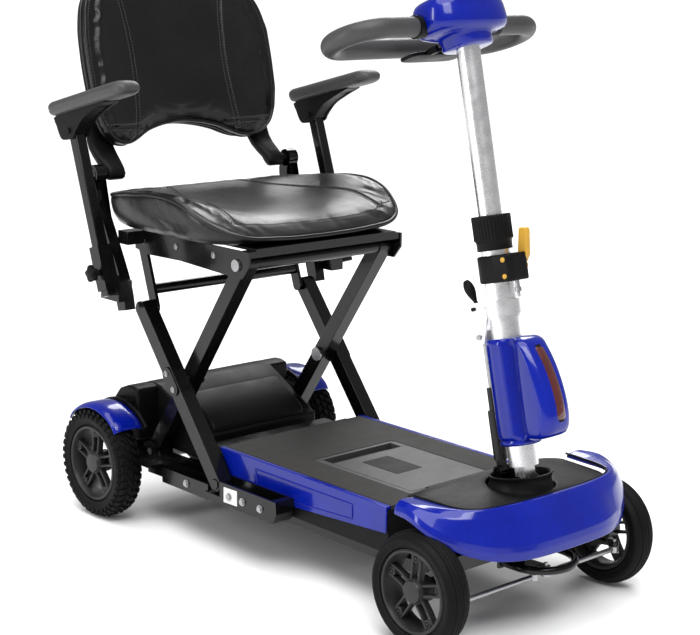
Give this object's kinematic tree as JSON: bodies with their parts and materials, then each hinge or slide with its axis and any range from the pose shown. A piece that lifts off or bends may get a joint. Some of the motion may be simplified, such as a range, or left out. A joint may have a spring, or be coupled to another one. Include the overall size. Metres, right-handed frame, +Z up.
{
  "type": "folding mobility scooter",
  "caption": "Folding mobility scooter: padded seat on a scissor lift, hinged telescoping tiller with a loop handlebar, foot deck with a lift-out battery, steered front and driven rear wheels.",
  "frame": {"origin": "centre of the bounding box on the floor under the tyres", "axes": "+Z up, -Y to the front, +X to the rider's left"},
  "size_m": [0.592, 1.0294, 0.9227],
  "materials": {
    "black_steel": "gloss black paint",
    "deck_black": "satin black paint",
    "blue_gloss": "deep blue gloss",
    "mat_rubber": "fine pebble grain",
    "tyre_black": "moulded black rubber",
    "black_plastic": "fine matte grain",
    "grey_plastic": "satin grey",
    "rim_black": "satin black",
    "silver_alu": "polished tube",
    "cast_alu": "cast grey",
    "steel": "plain turned",
    "motor_steel": "satin dark grey",
    "leather": "soft gloss black, stitched",
    "lever_yellow": "gloss yellow",
    "lens_red": "deep red-brown",
    "cell_green": "shrink sleeve"
  },
  "bodies": {
    "base": {"rear_frame": "black_steel", "side_rails": "black_steel", "deck_tray": "deck_black", "deck_panels": "blue_gloss", "deck_mat": "mat_rubber", "front_frame": "black_steel", "front_fender": "blue_gloss", "front_cover": "black_plastic", "front_bumper": "black_steel", "motor_cover": "black_plastic", "rear_fenders": "blue_gloss", "drive_motor": "motor_steel", "transaxle": "cast_alu", "controller": "cast_alu", "frame_bolts": "steel"},
    "battery": {"battery_case": "grey_plastic", "battery_cells": "cell_green"},
    "rear_wheel_right": {"rear_tyre_right": "tyre_black", "rear_rim_right": "rim_black"},
    "rear_wheel_left": {"rear_tyre_left": "tyre_black", "rear_rim_left": "rim_black"},
    "steering_yoke": {"steering_column": "black_steel", "tiller_boot": "black_plastic"},
    "steering_arm_right": {"knuckle_right": "black_steel"},
    "steering_arm_left": {"knuckle_left": "black_steel"},
    "track_rod_right": {"tie_rod_right": "steel"},
    "track_rod_left": {"tie_rod_left": "steel"},
    "front_wheel_right": {"front_tyre_right": "tyre_black", "front_rim_right": "rim_black"},
    "front_wheel_left": {"front_tyre_left": "tyre_black", "front_rim_left": "rim_black"},
    "tiller": {"tiller_outer_tube": "silver_alu", "tiller_shroud": "blue_gloss", "tiller_lens": "lens_red", "tiller_clamp": "black_plastic", "latch_bracket": "silver_alu", "tiller_collar": "black_plastic"},
    "tube_clamp_lever": {"clamp_lever": "lever_yellow"},
    "fold_latch": {"latch_lever": "black_plastic"},
    "strut_upper": {"strut_rod": "steel"},
    "strut_lower": {"strut_cylinder": "black_steel"},
    "head": {"tiller_inner_tube": "silver_alu", "head_pod": "blue_gloss", "handlebar_loop": "grey_plastic"},
    "throttle": {"throttle_paddle": "black_plastic"},
    "dial": {"speed_dial": "black_plastic"},
    "inner_legs": {"scissor_legs_inner": "black_steel", "scissor_pins": "steel"},
    "outer_legs": {"scissor_legs_outer": "black_steel"},
    "links": {"swing_links": "black_steel"},
    "seat": {"seat_frame": "black_steel", "seat_cushion": "leather", "back_frame": "black_steel", "armrest_posts": "black_steel"},
    "backrest": {"backrest_shell": "black_plastic", "backrest_cushion": "leather"},
    "arm_right": {"armrest_right": "black_plastic", "arm_pad_right": "grey_plastic"},
    "arm_left": {"armrest_left": "black_plastic", "arm_pad_left": "grey_plastic"}
  },
  "joints": [
    {"name": "rear_wheel_right_spin", "type": "hinge", "parent": "base", "child": "rear_wheel_right", "pos_m": [0, 0.35728, 0.096], "axis": [1, 0, 0], "continuous": true},
    {"name": "rear_wheel_left_spin", "type": "hinge", "parent": "base", "child": "rear_wheel_left", "pos_m": [0, 0.35728, 0.096], "axis": [1, 0, 0], "continuous": true},
    {"name": "steer", "type": "hinge", "parent": "base", "child": "steering_yoke", "pos_m": [0, -0.40872, 0.12], "axis": [0, 0, 1], "range_deg": [-15, 15]},
    {"name": "kingpin_right", "type": "hinge", "parent": "base", "child": "steering_arm_right", "pos_m": [-0.158, -0.40872, 0.112], "axis": [0, 0, 1], "range_deg": [-15, 15]},
    {"name": "track_rod_right_swing", "type": "hinge", "parent": "steering_yoke", "child": "track_rod_right", "pos_m": [-0.013, -0.45272, 0.077], "axis": [0, 0, 1], "range_deg": [-15, 15]},
    {"name": "front_wheel_right_spin", "type": "hinge", "parent": "steering_arm_right", "child": "front_wheel_right", "pos_m": [-0.158, -0.40872, 0.086], "axis": [1, 0, 0], "continuous": true},
    {"name": "kingpin_left", "type": "hinge", "parent": "base", "child": "steering_arm_left", "pos_m": [0.158, -0.40872, 0.112], "axis": [0, 0, 1], "range_deg": [-15, 15]},
    {"name": "track_rod_left_swing", "type": "hinge", "parent": "steering_yoke", "child": "track_rod_left", "pos_m": [0.013, -0.45272, 0.077], "axis": [0, 0, 1], "range_deg": [-15, 15]},
    {"name": "front_wheel_left_spin", "type": "hinge", "parent": "steering_arm_left", "child": "front_wheel_left", "pos_m": [0.158, -0.40872, 0.086], "axis": [1, 0, 0], "continuous": true},
    {"name": "tiller_fold", "type": "hinge", "parent": "steering_yoke", "child": "tiller", "pos_m": [0, -0.42072, 0.205], "axis": [1, 0, 0], "range_deg": [-23, 0]},
    {"name": "strut_swing", "type": "hinge", "parent": "tiller", "child": "strut_upper", "pos_m": [0, -0.32748, 0.40713], "axis": [1, 0, 0], "range_deg": [-3.8, 0.5]},
    {"name": "strut_travel", "type": "slide", "parent": "strut_upper", "child": "strut_lower", "axis": [0, 0.2267, 0.974], "range_m": [-0.0005, 0.01635]},
    {"name": "clamp_lever_turn", "type": "hinge", "parent": "tiller", "child": "tube_clamp_lever", "pos_m": [0, -0.38416, 0.52094], "axis": [1, 0, 0], "range_deg": [0, 80]},
    {"name": "fold_latch_turn", "type": "hinge", "parent": "tiller", "child": "fold_latch", "pos_m": [0, -0.31407, 0.44713], "axis": [1, 0, 0], "range_deg": [0, 15], "stiffness_Nm_per_rad": 0.5},
    {"name": "tiller_height", "type": "slide", "parent": "tiller", "child": "head", "axis": [0, 0.2267, 0.974], "range_m": [-0.06, 0.06]},
    {"name": "throttle_squeeze", "type": "hinge", "parent": "head", "child": "throttle", "pos_m": [0, -0.23538, 0.82228], "axis": [1, 0, 0], "range_deg": [0, 10], "stiffness_Nm_per_rad": 1, "springref_deg": -8.02},
    {"name": "speed_dial_turn", "type": "hinge", "parent": "head", "child": "dial", "pos_m": [0, -0.24658, 0.8877], "axis": [0, 0.36, 0.933], "range_deg": [-135, 135]},
    {"name": "scissor_fold", "type": "hinge", "parent": "base", "child": "inner_legs", "pos_m": [0, 0.29728, 0.116], "axis": [1, 0, 0], "range_deg": [0, 31]},
    {"name": "scissor_cross", "type": "hinge", "parent": "inner_legs", "child": "outer_legs", "pos_m": [0, 0.19715, 0.26389], "axis": [1, 0, 0], "range_deg": [-59.02, 0]},
    {"name": "seat_level", "type": "hinge", "parent": "inner_legs", "child": "seat", "pos_m": [0, 0.05301, 0.47679], "axis": [1, 0, 0], "range_deg": [-31, 0]},
    {"name": "link_swing", "type": "hinge", "parent": "seat", "child": "links", "pos_m": [0, 0.31771, 0.47379], "axis": [1, 0, 0], "range_deg": [0, 80.86]},
    {"name": "backrest_fold", "type": "hinge", "parent": "seat", "child": "backrest", "pos_m": [0, 0.37328, 0.59179], "axis": [1, 0, 0], "range_deg": [0, 80]},
    {"name": "armrest_right_flip", "type": "hinge", "parent": "seat", "child": "arm_right", "pos_m": [-0.259, 0.35802, 0.66833], "axis": [-1, 0, 0], "range_deg": [0, 100]},
    {"name": "armrest_left_flip", "type": "hinge", "parent": "seat", "child": "arm_left", "pos_m": [0.259, 0.35802, 0.66833], "axis": [-1, 0, 0], "range_deg": [0, 100]},
    {"name": "battery_lift", "type": "slide", "parent": "base", "child": "battery", "axis": [0, 0, 1], "range_m": [0, 0.08]}
  ],
  "couplings": [
    {"joint": "kingpin_right", "follows": "steer", "ratio": 1},
    {"joint": "kingpin_left", "follows": "steer", "ratio": 1},
    {"joint": "track_rod_right_swing", "follows": "steer", "ratio": -1},
    {"joint": "track_rod_left_swing", "follows": "steer", "ratio": -1},
    {"joint": "scissor_cross", "follows": "scissor_fold", "ratio": -1.9037},
    {"joint": "seat_level", "follows": "scissor_fold", "ratio": -1},
    {"joint": "link_swing", "follows": "scissor_fold", "ratio": 2.6083},
    {"joint": "tiller_fold", "follows": "scissor_fold", "ratio": -0.74194},
    {"joint": "strut_swing", "follows": "scissor_fold", "ratio": -0.10655},
    {"joint": "strut_travel", "follows": "scissor_fold", "m_per_rad": 0.029287}
  ]
}
